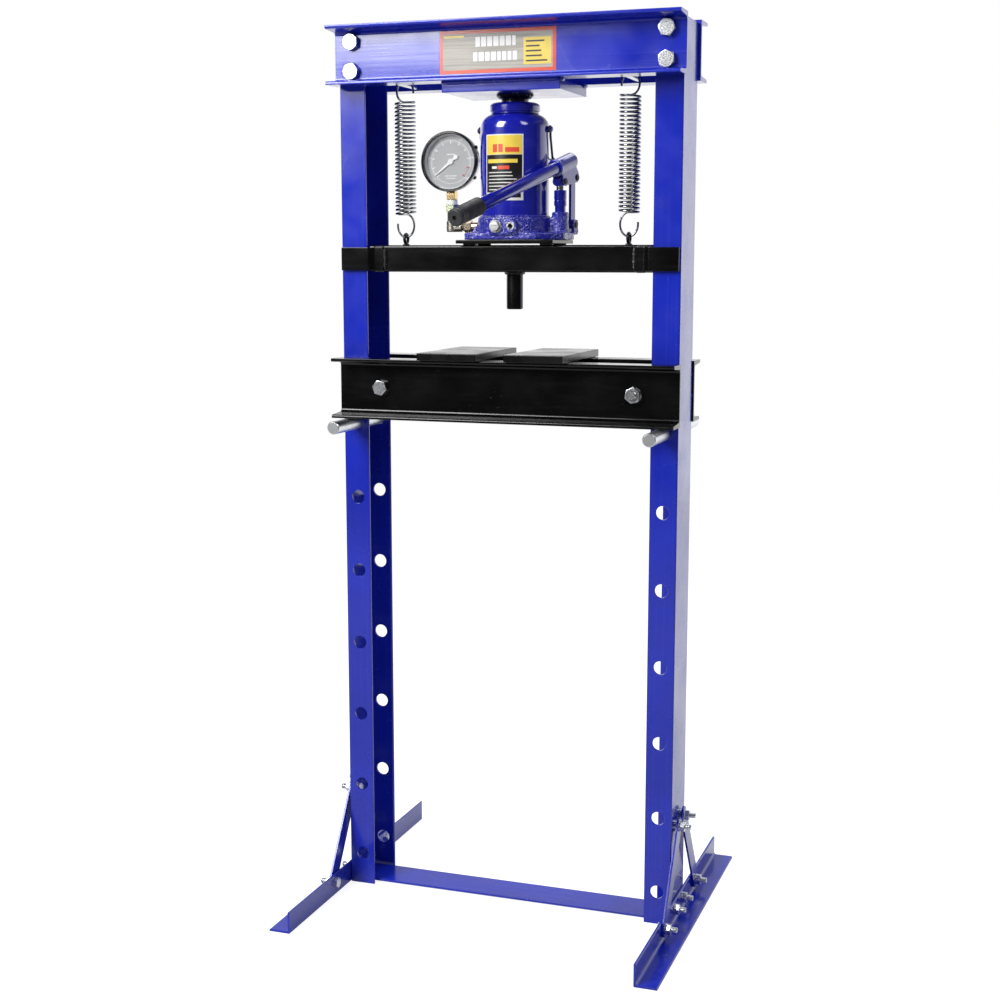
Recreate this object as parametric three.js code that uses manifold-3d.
// A hydraulic shop press: a bolted channel frame, a height-adjustable bed on two pins, and a crossbar
// that a bottle jack pushes down from the frame's head while two springs hold it up.
// Millimetres. +X runs across the press, +Y to its rear, +Z up. The origin is on the floor, at the middle.
import * as THREE from "three";
import { mergeVertices } from "three/addons/utils/BufferGeometryUtils.js";
import Module from "manifold-3d";

const wasm = await Module();
wasm.setup();

const GAP = 0.3; // left between pieces that touch

// ---------------------------------------------------------------- driving dimensions
const FRAME_HALF_WIDTH = 308; // to the outer face of a post's web
const POST = { height: 1555, depth: 100, flange: 48, steel: 4.5 };
const BEAM = { top: 1560, height: 100, flange: 48, web: 5.3, tip: 6, root: 9, halfLength: 313 };
const BED = { height: 106, flange: 47, web: 5.3, tip: 6, root: 9, halfLength: 311, clearance: 0.8 };
const HOLES = { count: 7, first: 58.5, pitch: 135.5, radius: 12, fromWeb: 25 };
const PIN = { radius: 11.5, front: -152, rear: 172 };
const FOOT = { halfLength: 305, leg: 40, steel: 4 };
const STRUT = { width: 30, steel: 4, hole: 5.3 };
const BRACE = { halfWidth: 36, steel: 4, low: 2, tab: 40 };
const HEAD_PLATE = { halfWidth: 105, halfDepth: 78, thickness: 17.7 };
const BEAM_BOLT = { x: 281, heights: [1535, 1485], radius: 8, head: 26, headHeight: 10, nut: 13 };
const BED_BOLT = { x: 232, radius: 8, head: 24, headHeight: 10, nut: 13, spacer: 12 };
const SPRING = { x: 205, outer: 19, inner: 15.3, wire: 1.9, low: 1240, high: 1437.5 };
const HANGER = { z: 1466, radius: 4 };
const BAR = { halfLength: 256, halfDepth: 45, low: 1140.5, high: 1187, wall: 5 };
const BRACKET = { low: 1143, high: 1183, steel: 6, reach: 306, clearance: 1.6 };
const EYE = { radius: 8, wire: 2.75, z: 1198.5 };
const ROD = { radius: 14.5, low: 1076 };
const JACK_PLATE = { halfWidth: 88, halfDepth: 60, low: 1189.3, high: 1195.8 };
const PLATE = { halfDepth: 110, thickness: 13, left: [-142, -34], right: [16.5, 122] };
const JACK = { low: 1196.1, flangeTop: 1208, baseTop: 1234.5, shoulder: 1380, top: 1410.2, radius: 60 };
const CAP = { radius: 43.8, low: 1410.5, high: 1427.6 };
const CYLINDER_RADIUS = 31;
const RAM = { radius: 24, low: 1268, high: 1428 };
const SADDLE = { neckTop: 1434.5, high: 1441.7, low: 27, radius: 32 };
const PUMP = { x: 81, y: 5, heading: 255, barrel: 11, barrelTop: 1280, plunger: 7, pinZ: 1295 };
const LINK = { behind: 38, low: 1222, high: 1302.8, half: 2.5, radius: 7, pin: 4 };
const BOSS = { radius: 14.5, top: 1243 }; // the pump's place on the jack's base
const CHEEK = { half: 8, far: 8.8, top: 1231 }; // the pair that holds the link's lower pin
const PORT = { z: 1218.5, radius: 11, front: -66, valve: -13, plug: 14 };
const VALVE = { head: 8, front: -72, stem: 5.2, slot: 3 };
const HANDLE = { axisZ: 1321.6, slope: 16.9, bar: 11, socket: 14, back: -36, mouth: 19, end: 324.6 };
const GRIP = { radius: 14.8, length: 70 };
const EAR = { near: 7.4, far: 10.4, pinHalf: 12.5 };
const BAIL = { z: 1383, x: 63.6, drop: 48, back: 14, wire: 2, rivet: 4.5 };
const GAUGE = { x: -114.5, z: 1331, face: -24, back: 4, radius: 50, bezel: 52, stemY: -6, pointer: 219 };

const POST_FACE = POST.depth / 2;
const BEAM_LOW = BEAM.top - BEAM.height;
const FOOT_X = FRAME_HALF_WIDTH + GAP;
const HOLE_X = FRAME_HALF_WIDTH - HOLES.fromWeb;
const PIN_Z = HOLES.first + HOLES.pitch * (HOLES.count - 1) - (HOLES.radius - PIN.radius) + GAP;
const BED_LOW = PIN_Z + PIN.radius + GAP;
const BED_TOP = BED_LOW + BED.height;

// ---------------------------------------------------------------- finishes
const finish = (color, roughness, metalness, opacity = 1) =>
  new THREE.MeshStandardMaterial({ color, roughness, metalness, opacity, transparent: opacity < 1 });
const BLUE = finish(0x1d22a8, 0.3, 0.1);
const BLACK = finish(0x0c0c0e, 0.35, 0.1);
const ZINC = finish(0xc9ccd0, 0.35, 0.9);
const CHROME = finish(0xdfe1e4, 0.12, 1);
const BRASS = finish(0xc9a55a, 0.3, 0.9);
const DARK_STEEL = finish(0x17171a, 0.5, 0.8);
const RUBBER = finish(0x1b1b1c, 0.8, 0);
const DIAL = finish(0x77797a, 0.6, 0);
const WHITE = finish(0xf4f4f2, 0.5, 0);
const GLASS = finish(0xffffff, 0.05, 0, 0.3);

// ---------------------------------------------------------------- solids
// A closed geometry as a solid, with its faces turned out.
function solid(geometry) {
  const plain = geometry.index ? geometry.toNonIndexed() : geometry.clone();
  plain.deleteAttribute("normal");
  plain.deleteAttribute("uv");
  const merged = mergeVertices(plain, 1e-4);
  const make = (triVerts) =>
    new wasm.Manifold(
      new wasm.Mesh({ numProp: 3, vertProperties: merged.attributes.position.array, triVerts }),
    );
  const made = make(new Uint32Array(merged.index.array));
  return made.volume() > 0 ? made : make(new Uint32Array(merged.index.array).reverse());
}

function geometryOf(body) {
  const { vertProperties, triVerts } = body.getMesh();
  const geometry = new THREE.BufferGeometry();
  geometry.setAttribute("position", new THREE.BufferAttribute(vertProperties, 3));
  geometry.setIndex(new THREE.BufferAttribute(triVerts, 1));
  return geometry;
}

const join = (first, ...others) => others.reduce((all, next) => all.add(next), first);
const cut = (first, ...others) => others.reduce((all, next) => all.subtract(next), first);

function box(x, y, z) {
  const spans = [x, y, z];
  const size = spans.map(([low, high]) => high - low);
  const middle = spans.map(([low, high]) => (low + high) / 2);
  return solid(new THREE.BoxGeometry(...size).translate(...middle));
}

// A round bar along "x", "y" or "z" between two places on that axis.
function bar(axis, from, to, centre, radius, sides = 24, endRadius = radius) {
  const round = new THREE.CylinderGeometry(endRadius, radius, to - from, sides);
  if (sides === 6) round.rotateY(Math.PI / 6);
  const middle = (from + to) / 2;
  if (axis === "x") round.rotateZ(-Math.PI / 2).translate(middle, centre[0], centre[1]);
  if (axis === "y") round.translate(centre[0], middle, centre[1]);
  if (axis === "z") round.rotateX(Math.PI / 2).translate(centre[0], centre[1], middle);
  return solid(round);
}

const hexRadius = (acrossFlats) => acrossFlats / Math.sqrt(3);

// A shape drawn in (x, z), (y, z) or (x, y), given depth along the third axis.
const AXES = {
  x: [new THREE.Vector3(0, 1, 0), new THREE.Vector3(0, 0, 1), new THREE.Vector3(1, 0, 0)],
  y: [new THREE.Vector3(1, 0, 0), new THREE.Vector3(0, 0, 1), new THREE.Vector3(0, -1, 0)],
  z: [new THREE.Vector3(1, 0, 0), new THREE.Vector3(0, 1, 0), new THREE.Vector3(0, 0, 1)],
};
function prism(axis, shape, from, to) {
  const settings = { depth: to - from, bevelEnabled: false, curveSegments: 3 };
  const geometry = new THREE.ExtrudeGeometry(shape, settings);
  geometry.applyMatrix4(new THREE.Matrix4().makeBasis(...AXES[axis]));
  if (axis === "x") geometry.translate(from, 0, 0);
  if (axis === "y") geometry.translate(0, to, 0);
  if (axis === "z") geometry.translate(0, 0, from);
  return solid(geometry);
}

const outline = (points) => new THREE.Shape(points.map(([u, v]) => new THREE.Vector2(u, v)));

// A solid of revolution about Z from a closed outline of [radius, z].
function turned(points, sides = 28) {
  const closed = points[0][0] === 0 ? points : [...points, points[0]];
  const profile = closed.map(([r, z]) => new THREE.Vector2(r, z));
  return solid(new THREE.LatheGeometry(profile, sides).rotateX(Math.PI / 2));
}

// A round wire along a curve through points.
function wire(points, radius, steps, sides = 8) {
  const ring = [...Array(sides).keys()].map((i) => {
    const turn = (2 * Math.PI * i) / sides;
    return [radius * Math.cos(turn), radius * Math.sin(turn)];
  });
  const extrudePath = new THREE.CatmullRomCurve3(points.map((p) => new THREE.Vector3(...p)));
  return solid(new THREE.ExtrudeGeometry(outline(ring), { steps, bevelEnabled: false, extrudePath }));
}

// A channel's section: its web's back on the v axis, its flanges reaching out along u.
function channelSection({ depth, flange, web, tip, root }, place) {
  const half = depth / 2;
  const point = (u, v) => place(u, v);
  const shape = new THREE.Shape();
  const move = (u, v) => shape.moveTo(...point(u, v));
  const line = (u, v) => shape.lineTo(...point(u, v));
  const curve = (a, b, u, v) => shape.quadraticCurveTo(...point(a, b), ...point(u, v));
  const round = tip * 0.6;
  const fillet = 3;
  const slope = (root - tip) / (flange - web);
  move(0, -half);
  line(flange, -half);
  line(flange, -half + tip - round);
  curve(flange, -half + tip, flange - round, -half + tip + slope * round);
  line(web + fillet, -half + root - slope * fillet);
  curve(web, -half + root, web, -half + root + fillet);
  line(web, half - root - fillet);
  curve(web, half - root, web + fillet, half - root + slope * fillet);
  line(flange - round, half - tip - slope * round);
  curve(flange, half - tip, flange, half - tip + round);
  line(flange, half);
  line(0, half);
  return shape;
}

// ---------------------------------------------------------------- the assembled group
const press = new THREE.Group();
function add(name, body, material) {
  const mesh = new THREE.Mesh(geometryOf(body), material);
  mesh.name = name;
  press.add(mesh);
}

const SIDES = [
  { side: "left", s: -1 },
  { side: "right", s: 1 },
];
const ENDS = [
  { end: "front", e: -1 },
  { end: "rear", e: 1 },
];

// ---------------------------------------------------------------- frame
function post(s) {
  const { depth, flange, steel } = POST;
  const section = channelSection(
    { depth, flange, web: steel, tip: steel, root: steel },
    (u, v) => [s * (FRAME_HALF_WIDTH - u), v],
  );
  const holes = [...Array(HOLES.count).keys()].map((k) =>
    bar("y", -POST_FACE - 5, POST_FACE + 5, [s * HOLE_X, HOLES.first + HOLES.pitch * k], HOLES.radius, 16),
  );
  const boltHoles = BEAM_BOLT.heights.map((z) => beamBoltHole(s, z));
  return cut(prism("z", section, 0, POST.height), ...holes, ...boltHoles);
}

const beamBoltHole = (s, z) => bar("y", -70, 70, [s * BEAM_BOLT.x, z], BEAM_BOLT.radius + GAP, 10);

function beam(e) {
  const { height, flange, web, tip, root, halfLength } = BEAM;
  const middle = BEAM.top - height / 2;
  const section = channelSection({ depth: height, flange, web, tip, root }, (u, v) => [
    e * (POST_FACE + GAP + u),
    middle + v,
  ]);
  const holes = SIDES.flatMap(({ s }) => BEAM_BOLT.heights.map((z) => beamBoltHole(s, z)));
  return cut(prism("x", section, -halfLength, halfLength), ...holes);
}

// A bolt through both beams and a post, with a hex head in front and a nut behind.
function throughBolt(x, z, face, { radius, head, headHeight, nut }, facing = -1) {
  const near = facing * (face + GAP);
  const far = -near;
  const span = (a, b) => [Math.min(a, b), Math.max(a, b)];
  return join(
    bar("y", ...span(near, far - facing * (nut + 6)), [x, z], radius, 10),
    bar("y", ...span(near, near + facing * headHeight), [x, z], hexRadius(head), 6),
    bar("y", ...span(far, far - facing * nut), [x, z], hexRadius(head), 6),
  );
}

function foot(s) {
  const { leg, steel, halfLength } = FOOT;
  const section = outline([
    [s * FOOT_X, 0],
    [s * (FOOT_X + leg), 0],
    [s * (FOOT_X + leg), steel - 1],
    [s * (FOOT_X + leg - 1), steel],
    [s * (FOOT_X + steel + 3), steel],
    [s * (FOOT_X + steel), steel + 3],
    [s * (FOOT_X + steel), leg - 1],
    [s * (FOOT_X + steel - 1), leg],
    [s * FOOT_X, leg],
  ]);
  return prism("y", section, -halfLength, halfLength);
}

// A flat bar with round ends from the foot's upright leg to the post's web.
function strut(s, low, high) {
  const radius = STRUT.width / 2;
  const lean = Math.atan2(high[1] - low[1], high[0] - low[0]);
  const shape = new THREE.Shape();
  shape.absarc(high[0], high[1], radius, lean - Math.PI / 2, lean + Math.PI / 2, false);
  shape.absarc(low[0], low[1], radius, lean + Math.PI / 2, lean + (3 * Math.PI) / 2, false);
  const inner = FOOT_X + FOOT.steel + GAP;
  const [from, to] = s > 0 ? [inner, inner + STRUT.steel] : [-inner - STRUT.steel, -inner];
  const outlined = new THREE.Shape(shape.getPoints(5));
  const hole = (place) => bar("x", from - 1, to + 1, place, STRUT.hole, 8);
  return cut(prism("x", outlined, from, to), hole(low), hole(high));
}

// A flat strip across the floor, with an upturned tab inside each post.
function lowerBrace() {
  const reach = FRAME_HALF_WIDTH - POST.steel - GAP;
  const { halfWidth, steel, low, tab } = BRACE;
  const section = outline([
    [-reach, low],
    [reach, low],
    [reach, low + tab],
    [reach - steel, low + tab],
    [reach - steel, low + steel],
    [-reach + steel, low + steel],
    [-reach + steel, low + tab],
    [-reach, low + tab],
  ]);
  return prism("y", section, -halfWidth, halfWidth);
}

for (const { side, s } of SIDES) add(`${side}_post`, post(s), BLUE);
for (const { end, e } of ENDS) add(`${end}_top_beam`, beam(e), BLUE);
const headLow = BEAM_LOW - GAP - HEAD_PLATE.thickness;
add(
  "head_plate",
  box(
    [-HEAD_PLATE.halfWidth, HEAD_PLATE.halfWidth],
    [-HEAD_PLATE.halfDepth, HEAD_PLATE.halfDepth],
    [headLow, BEAM_LOW - GAP],
  ),
  BLUE,
);
const STRUTS = { front: { low: [-117, 23], high: [-22, 175] }, rear: { low: [120, 23], high: [14, 184] } };
for (const { side, s } of SIDES) {
  add(`${side}_foot`, foot(s), BLUE);
  add(`${side}_front_strut`, strut(s, STRUTS.front.low, STRUTS.front.high), BLUE);
}
for (const { side, s } of SIDES) add(`${side}_rear_strut`, strut(s, STRUTS.rear.low, STRUTS.rear.high), BLUE);
add("lower_brace", lowerBrace(), BLUE);
for (const { side, s } of SIDES) {
  BEAM_BOLT.heights.forEach((z, level) => {
    const name = `${side}_${level ? "lower" : "upper"}_beam_bolt`;
    add(name, throughBolt(s * BEAM_BOLT.x, z, POST_FACE + GAP + BEAM.web, BEAM_BOLT), ZINC);
  });
  const rod = bar("y", -POST_FACE, POST_FACE, [s * SPRING.x, HANGER.z], HANGER.radius, 12);
  add(`${side}_hanger_rod`, rod, ZINC);
}

// ---------------------------------------------------------------- return springs
// The outer shape of the coil, with the hook at each end.
function spring(s) {
  const x = s * SPRING.x;
  const { outer, inner, wire: thick, low, high } = SPRING;
  const coil = cut(bar("z", low, high, [x, 0], outer, 16), bar("z", low - 1, high + 1, [x, 0], inner, 16));
  const hook = (bottom, top, halfWidth, start) => {
    const middle = (bottom + top) / 2;
    const points = [...Array(13).keys()].map((i) => {
      const turn = start + (2 * Math.PI * 0.93 * i) / 12;
      return [x + halfWidth * Math.cos(turn), 0, middle + ((top - bottom) / 2) * Math.sin(turn)];
    });
    return wire(points, thick, 14, 5);
  };
  const lowEnd = EYE.z + EYE.radius - EYE.wire - thick - GAP;
  const topEnd = HANGER.z + HANGER.radius + thick + GAP;
  const bridge = (z) => bar("x", x - inner - 1, x + inner + 1, [0, z], thick, 6);
  return join(
    coil,
    bridge(low + thick),
    bridge(high - thick),
    hook(lowEnd, low + thick, 14, Math.PI * 0.57),
    hook(high - thick, topEnd, 12, -Math.PI * 0.43),
  );
}
for (const { side, s } of SIDES) add(`${side}_spring`, spring(s), ZINC);

// ---------------------------------------------------------------- bed
function bedChannel(e) {
  const { height, flange, web, tip, root, halfLength, clearance } = BED;
  const section = channelSection({ depth: height, flange, web, tip, root }, (u, v) => [
    e * (POST_FACE + clearance + u),
    BED_LOW + height / 2 + v,
  ]);
  const hole = (s) => bar("y", -70, 70, [s * BED_BOLT.x, BED_BOLT.z], BED_BOLT.radius + GAP, 10);
  return cut(prism("x", section, -halfLength, halfLength), hole(-1), hole(1));
}
BED_BOLT.z = BED_LOW + BED.height / 2;
for (const { end, e } of ENDS) add(`bed_${end}_channel`, bedChannel(e), BLACK);
const bedFace = POST_FACE + BED.clearance + BED.web;
for (const { side, s } of SIDES) {
  const place = [s * BED_BOLT.x, BED_BOLT.z];
  const reach = POST_FACE + BED.clearance - GAP;
  add(`${side}_bed_bolt`, throughBolt(...place, bedFace, BED_BOLT, s), ZINC);
  const bore = bar("y", -reach - 1, reach + 1, place, BED_BOLT.radius + GAP, 10);
  add(`${side}_bed_spacer`, cut(bar("y", -reach, reach, place, BED_BOLT.spacer, 14), bore), BLACK);
  add(`${side}_bed_pin`, bedPin(s), ZINC);
  add(`${side}_bed_plate`, bedPlate(PLATE[side]), BLACK);
}

function bedPin(s) {
  const place = [s * HOLE_X, PIN_Z];
  const chamfer = 1.5;
  return join(
    bar("y", PIN.front, PIN.front + chamfer, place, PIN.radius - chamfer, 16, PIN.radius),
    bar("y", PIN.front + chamfer, PIN.rear - chamfer, place, PIN.radius, 16),
    bar("y", PIN.rear - chamfer, PIN.rear, place, PIN.radius, 16, PIN.radius - chamfer),
  );
}

function bedPlate([from, to]) {
  const low = BED_TOP + GAP;
  const bevel = 1;
  const section = outline([
    [from + bevel, low],
    [to - bevel, low],
    [to, low + bevel],
    [to, low + PLATE.thickness - bevel],
    [to - bevel, low + PLATE.thickness],
    [from + bevel, low + PLATE.thickness],
    [from, low + PLATE.thickness - bevel],
    [from, low + bevel],
  ]);
  return prism("y", section, -PLATE.halfDepth, PLATE.halfDepth);
}

// ---------------------------------------------------------------- crossbar
// A rectangular tube with a cranked flat bar on each face at each end, which wraps over a post's flange.
function crossbar() {
  const { halfLength, halfDepth, low, high, wall } = BAR;
  const tube = cut(
    box([-halfLength, halfLength], [-halfDepth, halfDepth], [low, high]),
    box([-halfLength - 1, halfLength + 1], [wall - halfDepth, halfDepth - wall], [low + wall, high - wall]),
  );
  const guide = POST_FACE + BRACKET.clearance;
  const inside = [
    [228, halfDepth - 0.5],
    [249, halfDepth - 0.5],
    [256, guide],
    [BRACKET.reach, guide],
    [BRACKET.reach, guide + BRACKET.steel],
    [253.5, guide + BRACKET.steel],
    [246.5, halfDepth + BRACKET.steel],
    [228, halfDepth + BRACKET.steel],
  ];
  const brackets = SIDES.flatMap(({ s }) =>
    ENDS.map(({ e }) =>
      prism("z", outline(inside.map(([x, y]) => [s * x, e * y])), BRACKET.low, BRACKET.high),
    ),
  );
  return join(tube, ...brackets);
}
add("crossbar", crossbar(), BLACK);
add(
  "press_rod",
  join(
    bar("z", ROD.low, ROD.low + 1.5, [0, 0], ROD.radius - 1.5, 20, ROD.radius),
    bar("z", ROD.low + 1.5, BAR.low - GAP, [0, 0], ROD.radius, 20),
  ),
  BLACK,
);

function jackPlate() {
  const { halfWidth, halfDepth, low, high } = JACK_PLATE;
  const pads = [-1, 1].flatMap((sx) =>
    [-1, 1].map((sy) =>
      box([sx * 70 - 12, sx * 70 + 12], [sy * 36 - 4, sy * 36 + 4], [BAR.high + GAP, low + 0.5]),
    ),
  );
  return join(box([-halfWidth, halfWidth], [-halfDepth, halfDepth], [low, high]), ...pads);
}
add("jack_plate", jackPlate(), BLACK);

function eyeBolt(s) {
  const ring = new THREE.TorusGeometry(EYE.radius, EYE.wire, 6, 12);
  ring.rotateY(Math.PI / 2).translate(s * SPRING.x, 0, EYE.z);
  const collar = bar("z", BAR.high + GAP, EYE.z - EYE.radius, [s * SPRING.x, 0], 6, 10, 3.4);
  return join(solid(ring), collar);
}
for (const { side, s } of SIDES) add(`${side}_eye_bolt`, eyeBolt(s), DARK_STEEL);

// ---------------------------------------------------------------- bottle jack
// The pump's linkage lies in a plane through the pump, turned to the handle's heading.
const pumpAt = (body) => {
  const geometry = geometryOf(body);
  geometry.rotateZ(THREE.MathUtils.degToRad(PUMP.heading)).translate(PUMP.x, PUMP.y, 0);
  return solid(geometry);
};

function jackBase() {
  const root = JACK.flangeTop - 1; // sunk into the flange, so that all of it is one solid
  const footprint = outline([
    [-76, -50], [-68, -58], [56, -58], [97, -26], [99, 28], [84, 58], [-68, 58], [-76, 50],
  ]);
  const flange = prism("z", footprint, JACK.low, JACK.flangeTop);
  const ring = bar("z", root, JACK.baseTop, [0, 0], JACK.radius + 4, 28);
  const boss = bar("z", root, BOSS.top, [PUMP.x, PUMP.y], BOSS.radius, 16);
  const bridge = box([40, PUMP.x], [PUMP.y - 13, PUMP.y + 13], [root, JACK.baseTop - 1]);
  const port = (x) => bar("y", PORT.front, -40, [x, PORT.z], PORT.radius, 12);
  const cheekX = [-LINK.behind - CHEEK.half, CHEEK.half - LINK.behind];
  const near = LINK.half + 0.8;
  const cheek = (y) => pumpAt(box(cheekX, y, [root, CHEEK.top]));
  const cheeks = [cheek([-CHEEK.far, -near]), cheek([near, CHEEK.far])];
  const gusset = prism("y", outline([[-76, root], [-60, root], [-60, 1230]]), -20, -14);
  const pinHole = pumpAt(bar("y", -14, 14, [-LINK.behind, LINK.low], LINK.pin + GAP, 10));
  const plugHole = bar("y", -67, -56, [PORT.plug, PORT.z], 4, 8);
  const valveHole = bar("y", -67, -54, [PORT.valve, PORT.z], VALVE.stem + 0.5, 12);
  const plungerHole = bar("z", BOSS.top - 5, BOSS.top + 7, [PUMP.x, PUMP.y], PUMP.plunger + 0.6, 14);
  const whole = join(flange, ring, boss, bridge, port(PORT.valve), port(PORT.plug), ...cheeks, gusset);
  return cut(whole, pinHole, plugHole, valveHole, plungerHole);
}
add("jack_base", jackBase(), BLUE);

function arc(centre, radius, from, to, count) {
  return [...Array(count + 1).keys()].map((i) => {
    const turn = from + ((to - from) * i) / count;
    return [centre[0] + radius * Math.cos(turn), centre[1] + radius * Math.sin(turn)];
  });
}

// The oil tank: a thin shell with a round shoulder, open below and round the cylinder above.
function jackReservoir() {
  const { radius, baseTop, shoulder, top } = JACK;
  const round = 24;
  const outside = arc([radius - round, top - round - 1], round, 0, Math.PI * 0.4, 5);
  const inside = arc([radius - round, top - round - 1], round - 3, Math.PI * 0.4, 0, 3);
  const shell = turned([
    [radius, baseTop + GAP],
    ...outside,
    [43, top],
    [CYLINDER_RADIUS + 0.6, top],
    [CYLINDER_RADIUS + 0.6, top - 4],
    ...inside,
    [radius - 3, shoulder - 6],
    [radius - 3, baseTop + GAP],
  ]);
  const rivet = (s) => {
    const ends = [s * (radius - 1.5), s * (BAIL.x - BAIL.wire - GAP)];
    return bar("x", Math.min(...ends), Math.max(...ends), [0, BAIL.z], BAIL.rivet, 8);
  };
  return join(shell, rivet(-1), rivet(1));
}
add("jack_reservoir", jackReservoir(), BLUE);

add(
  "jack_cylinder",
  turned([
    [CYLINDER_RADIUS, JACK.baseTop + GAP],
    [CYLINDER_RADIUS, JACK.top],
    [RAM.radius + 0.6, JACK.top],
    [RAM.radius + 0.6, JACK.baseTop + GAP],
  ]),
  DARK_STEEL,
);
add(
  "jack_cap",
  turned([
    [CAP.radius - 1.5, CAP.low],
    [CAP.radius, CAP.low + 1.5],
    [CAP.radius, CAP.high - 5],
    [CAP.radius - 1.6, CAP.high - 2],
    [CAP.radius - 5, CAP.high],
    [RAM.radius + 0.6, CAP.high],
    [RAM.radius + 0.6, CAP.low],
  ]),
  BLUE,
);
add("jack_ram", bar("z", RAM.low, RAM.high, [0, 0], RAM.radius, 28), CHROME);

// The saddle on the ram's extension screw.
function jackSaddle() {
  return turned([
    [0, RAM.high + GAP],
    [23.5, RAM.high + GAP],
    [23.5, SADDLE.neckTop],
    [SADDLE.low, SADDLE.neckTop],
    [SADDLE.radius, SADDLE.high - 2],
    [SADDLE.radius, SADDLE.high],
    [0, SADDLE.high],
  ]);
}
add("jack_saddle", jackSaddle(), DARK_STEEL);

function releaseValve() {
  const place = [PORT.valve, PORT.z];
  const head = bar("y", VALVE.front, PORT.front - GAP, place, VALVE.head, 16);
  const stem = bar("y", PORT.front - 1, -55, place, VALVE.stem, 12);
  const slotZ = [PORT.z - VALVE.slot / 2, PORT.z + VALVE.slot / 2];
  const slot = box([PORT.valve - 9, PORT.valve + 9], [VALVE.front - 1, VALVE.front + 2.5], slotZ);
  return cut(join(head, stem), slot);
}
add("release_valve", releaseValve(), ZINC);

// ---------------------------------------------------------------- pump and handle
function pumpBarrel() {
  const place = [PUMP.x, PUMP.y];
  const neck = bar("z", BOSS.top + GAP, 1254, place, 9.5, 16);
  const body = bar("z", 1253.5, PUMP.barrelTop, place, PUMP.barrel, 16);
  const bore = bar("z", BOSS.top - 3, PUMP.barrelTop + 10, place, PUMP.plunger + 0.5, 16);
  return cut(join(neck, body), bore);
}
add("pump_barrel", pumpBarrel(), BLUE);

// The plunger's eye has a slot, because the handle's pin moves on an arc.
function plunger() {
  const rod = bar("z", 1246, 1288, [0, 0], PUMP.plunger, 16);
  const eye = box([-10.5, 7.6], [-6.8, 6.8], [1287, 1302]);
  const slot = box([-7.9, 5.2], [-8, 8], [PUMP.pinZ - 4.9, PUMP.pinZ + 4.9]);
  return pumpAt(cut(join(rod, eye), slot));
}
add("pump_plunger", plunger(), BLUE);

const crossPin = (along, z, half) => pumpAt(bar("y", -half, half, [along, z], LINK.pin, 10));
add("plunger_pin", crossPin(0, PUMP.pinZ, EAR.pinHalf), DARK_STEEL);
add("link_upper_pin", crossPin(-LINK.behind, LINK.high, EAR.pinHalf), DARK_STEEL);
add("link_lower_pin", crossPin(-LINK.behind, LINK.low, CHEEK.far + 1.7), DARK_STEEL);

function link() {
  const shape = new THREE.Shape();
  shape.absarc(-LINK.behind, LINK.high, LINK.radius, 0, Math.PI, false);
  shape.absarc(-LINK.behind, LINK.low, LINK.radius, Math.PI, 2 * Math.PI, false);
  const flat = prism("y", new THREE.Shape(shape.getPoints(5)), -LINK.half, LINK.half);
  const hole = (z) => bar("y", -9, 9, [-LINK.behind, z], LINK.pin + GAP, 10);
  return pumpAt(cut(flat, hole(LINK.low), hole(LINK.high)));
}
add("pump_link", link(), BLUE);

// A round bar along the handle's sloping axis, measured from above the plunger.
function handleBar(from, to, radius, sides = 20, endRadius = radius) {
  const round = new THREE.CylinderGeometry(endRadius, radius, to - from, sides).rotateZ(-Math.PI / 2);
  round.translate((from + to) / 2, 0, 0);
  round.rotateY(THREE.MathUtils.degToRad(HANDLE.slope)).translate(0, 0, HANDLE.axisZ);
  return solid(round);
}

function handleSocket() {
  const { bar: barRadius, socket, back, mouth } = HANDLE;
  const ear = outline([
    [-45.5, 1299.5], [-41.5, 1295], [-2, 1287.5], [5, 1288.5],
    [7.5, 1294], [10, 1313], [-33, 1326], [-44.5, 1310],
  ]);
  const ears = [[EAR.near, EAR.far], [-EAR.far, -EAR.near]].map(([from, to]) => prism("y", ear, from, to));
  const tube = handleBar(back, mouth - 3, socket);
  const rim = handleBar(mouth - 4.5, mouth, socket + 1.5);
  const bore = handleBar(back - 3, mouth + 3, barRadius + 0.5);
  const hole = (along, z) => bar("y", -20, 20, [along, z], LINK.pin + GAP, 10);
  return pumpAt(cut(join(tube, rim, ...ears), bore, hole(0, PUMP.pinZ), hole(-LINK.behind, LINK.high)));
}
add("handle_socket", handleSocket(), BLUE);
add("handle_bar", pumpAt(handleBar(-22, HANDLE.end - 6, HANDLE.bar)), BLUE);

function grip() {
  const start = HANDLE.end - GRIP.length;
  const sleeveBody = join(
    handleBar(start, HANDLE.end - 3, GRIP.radius),
    handleBar(HANDLE.end - 3, HANDLE.end, GRIP.radius, 20, GRIP.radius - 2),
  );
  return pumpAt(cut(sleeveBody, handleBar(start - 2, HANDLE.end - 6 + GAP, HANDLE.bar + GAP)));
}
add("handle_grip", grip(), RUBBER);

// ---------------------------------------------------------------- carrying bail
function bail() {
  const low = BAIL.z - BAIL.drop;
  const behind = arc([0, BAIL.back], BAIL.x, 0, Math.PI, 12).map(([x, y]) => [x, y, low]);
  const at = (x, down, back) => [x, back, BAIL.z - down];
  const points = [
    at(BAIL.x, 0, 0),
    at(BAIL.x, BAIL.drop / 2, BAIL.back / 2),
    ...behind,
    at(-BAIL.x, BAIL.drop / 2, BAIL.back / 2),
    at(-BAIL.x, 0, 0),
  ];
  return wire(points, BAIL.wire, 28, 5);
}
add("jack_bail", bail(), DARK_STEEL);

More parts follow.
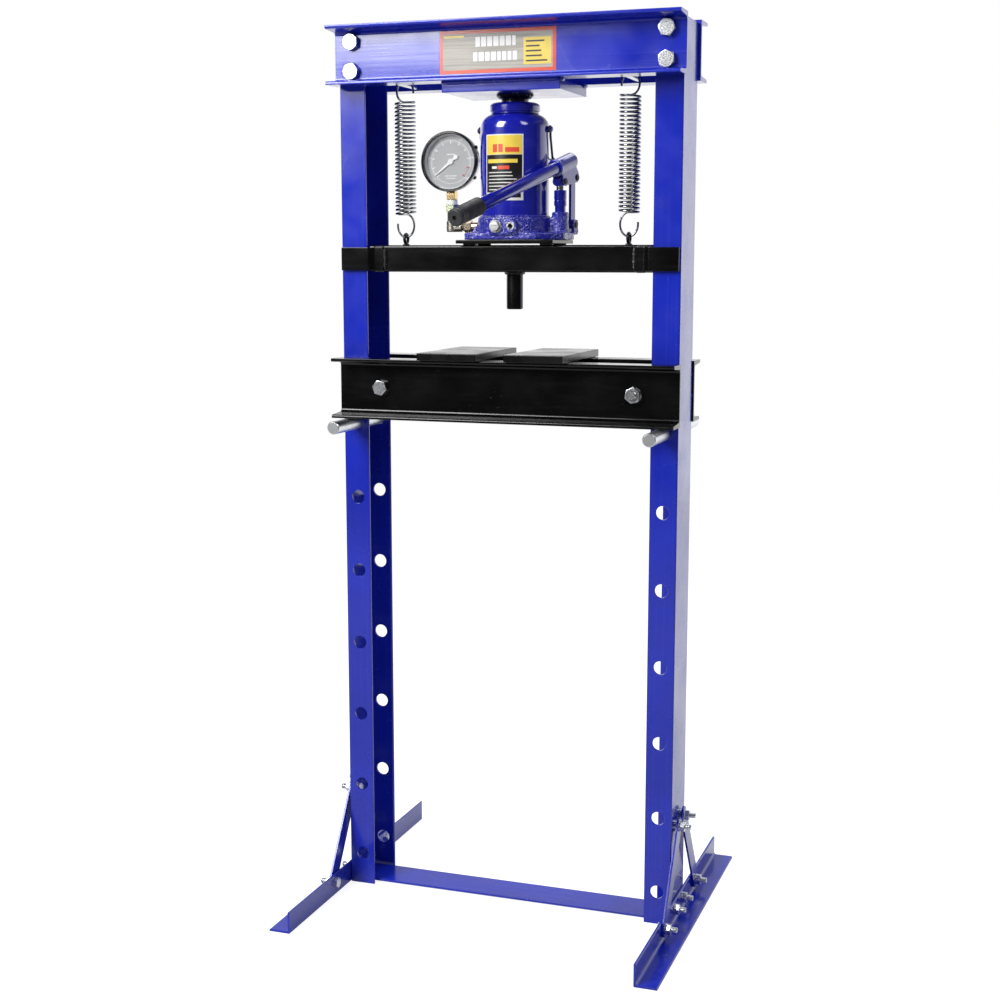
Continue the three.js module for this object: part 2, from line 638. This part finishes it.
// ---------------------------------------------------------------- pressure gauge
// A solid of revolution about the gauge's own axis, which runs along Y, from [radius, y].
function onGauge(points, sides = 28) {
  const geometry = geometryOf(turned(points, sides));
  geometry.rotateX(Math.PI / 2).translate(GAUGE.x, 0, GAUGE.z);
  return solid(geometry);
}
const ringOnGauge = (inner, outer, front, back, sides) =>
  onGauge([[outer, -back], [outer, -front], [inner, -front], [inner, -back]], sides);
const discOnGauge = (radius, front, back, sides) => bar("y", front, back, [GAUGE.x, GAUGE.z], radius, sides);

add(
  "gauge_case",
  join(
    ringOnGauge(GAUGE.radius - 2, GAUGE.radius, GAUGE.face + 5, GAUGE.back),
    discOnGauge(GAUGE.radius - 1, GAUGE.back - 2, GAUGE.back, 28),
  ),
  CHROME,
);
add(
  "gauge_bezel",
  onGauge([
    [GAUGE.bezel, 14],
    [GAUGE.bezel, -GAUGE.face - 2],
    [GAUGE.bezel - 2, -GAUGE.face],
    [GAUGE.bezel - 3.4, -GAUGE.face],
    [GAUGE.bezel - 4.8, -GAUGE.face - 1.5],
    [GAUGE.bezel - 4.8, -GAUGE.face - 5 + GAP],
    [GAUGE.radius + GAP, -GAUGE.face - 5 + GAP],
    [GAUGE.radius + GAP, 14],
  ]),
  BLACK,
);
add("gauge_lens", discOnGauge(GAUGE.radius - 2.4, GAUGE.face + 5, GAUGE.face + 7, 28), GLASS);
add("gauge_dial", cut(discOnGauge(GAUGE.radius - 2.4, -12, -10.5, 28), discOnGauge(2, -13, -9, 10)), DIAL);

function gaugePointer() {
  const kite = outline([
    [-17, 0], [-13.5, 4.6], [-7, 1.8], [0, 2.6], [38, 0.5], [38, -0.5], [0, -2.6], [-7, -1.8], [-13.5, -4.6],
  ]);
  const needle = prism("y", kite, -14, -13);
  const geometry = geometryOf(needle);
  geometry.rotateY(-THREE.MathUtils.degToRad(GAUGE.pointer)).translate(GAUGE.x, 0, GAUGE.z);
  return join(solid(geometry), discOnGauge(5, -15, -12.6, 12), discOnGauge(1.5, -14, -7, 6));
}
add("gauge_pointer", gaugePointer(), WHITE);

const STEM = [GAUGE.x, GAUGE.stemY];
const FITTING = { z: 1219, square: 7.8, tape: [1257, 1267], hexLow: 1245, hex: 24, neck: 9 };
const ELBOW = { corner: 10.5, union: 20 };
function gaugeStem() {
  const { square, tape, hexLow, hex, neck } = FITTING;
  const wide = (middle) => [middle - square, middle + square];
  const top = GAUGE.z - GAUGE.radius - 0.7;
  return join(
    box(wide(STEM[0]), wide(STEM[1]), [tape[1] - 1, top]),
    bar("z", ...tape, STEM, 9.6, 14),
    bar("z", hexLow, tape[0] + 0.5, STEM, hexRadius(hex), 6),
    bar("z", 1229 + GAP, hexLow + 1, STEM, neck, 14),
  );
}
add("gauge_stem", gaugeStem(), BRASS);

function gaugeElbow() {
  const { corner, union } = ELBOW;
  const { z } = FITTING;
  const level = [GAUGE.stemY, z];
  return join(
    bar("z", z - 9, 1229, STEM, corner, 14),
    bar("x", GAUGE.x, -84, level, corner - 1.5, 14),
    bar("x", -90, -76.5, level, hexRadius(union), 6),
    bar("x", -80, -JACK.radius - 4.2, level, 8, 14),
  );
}
add("gauge_elbow", gaugeElbow(), BRASS);

export default press;
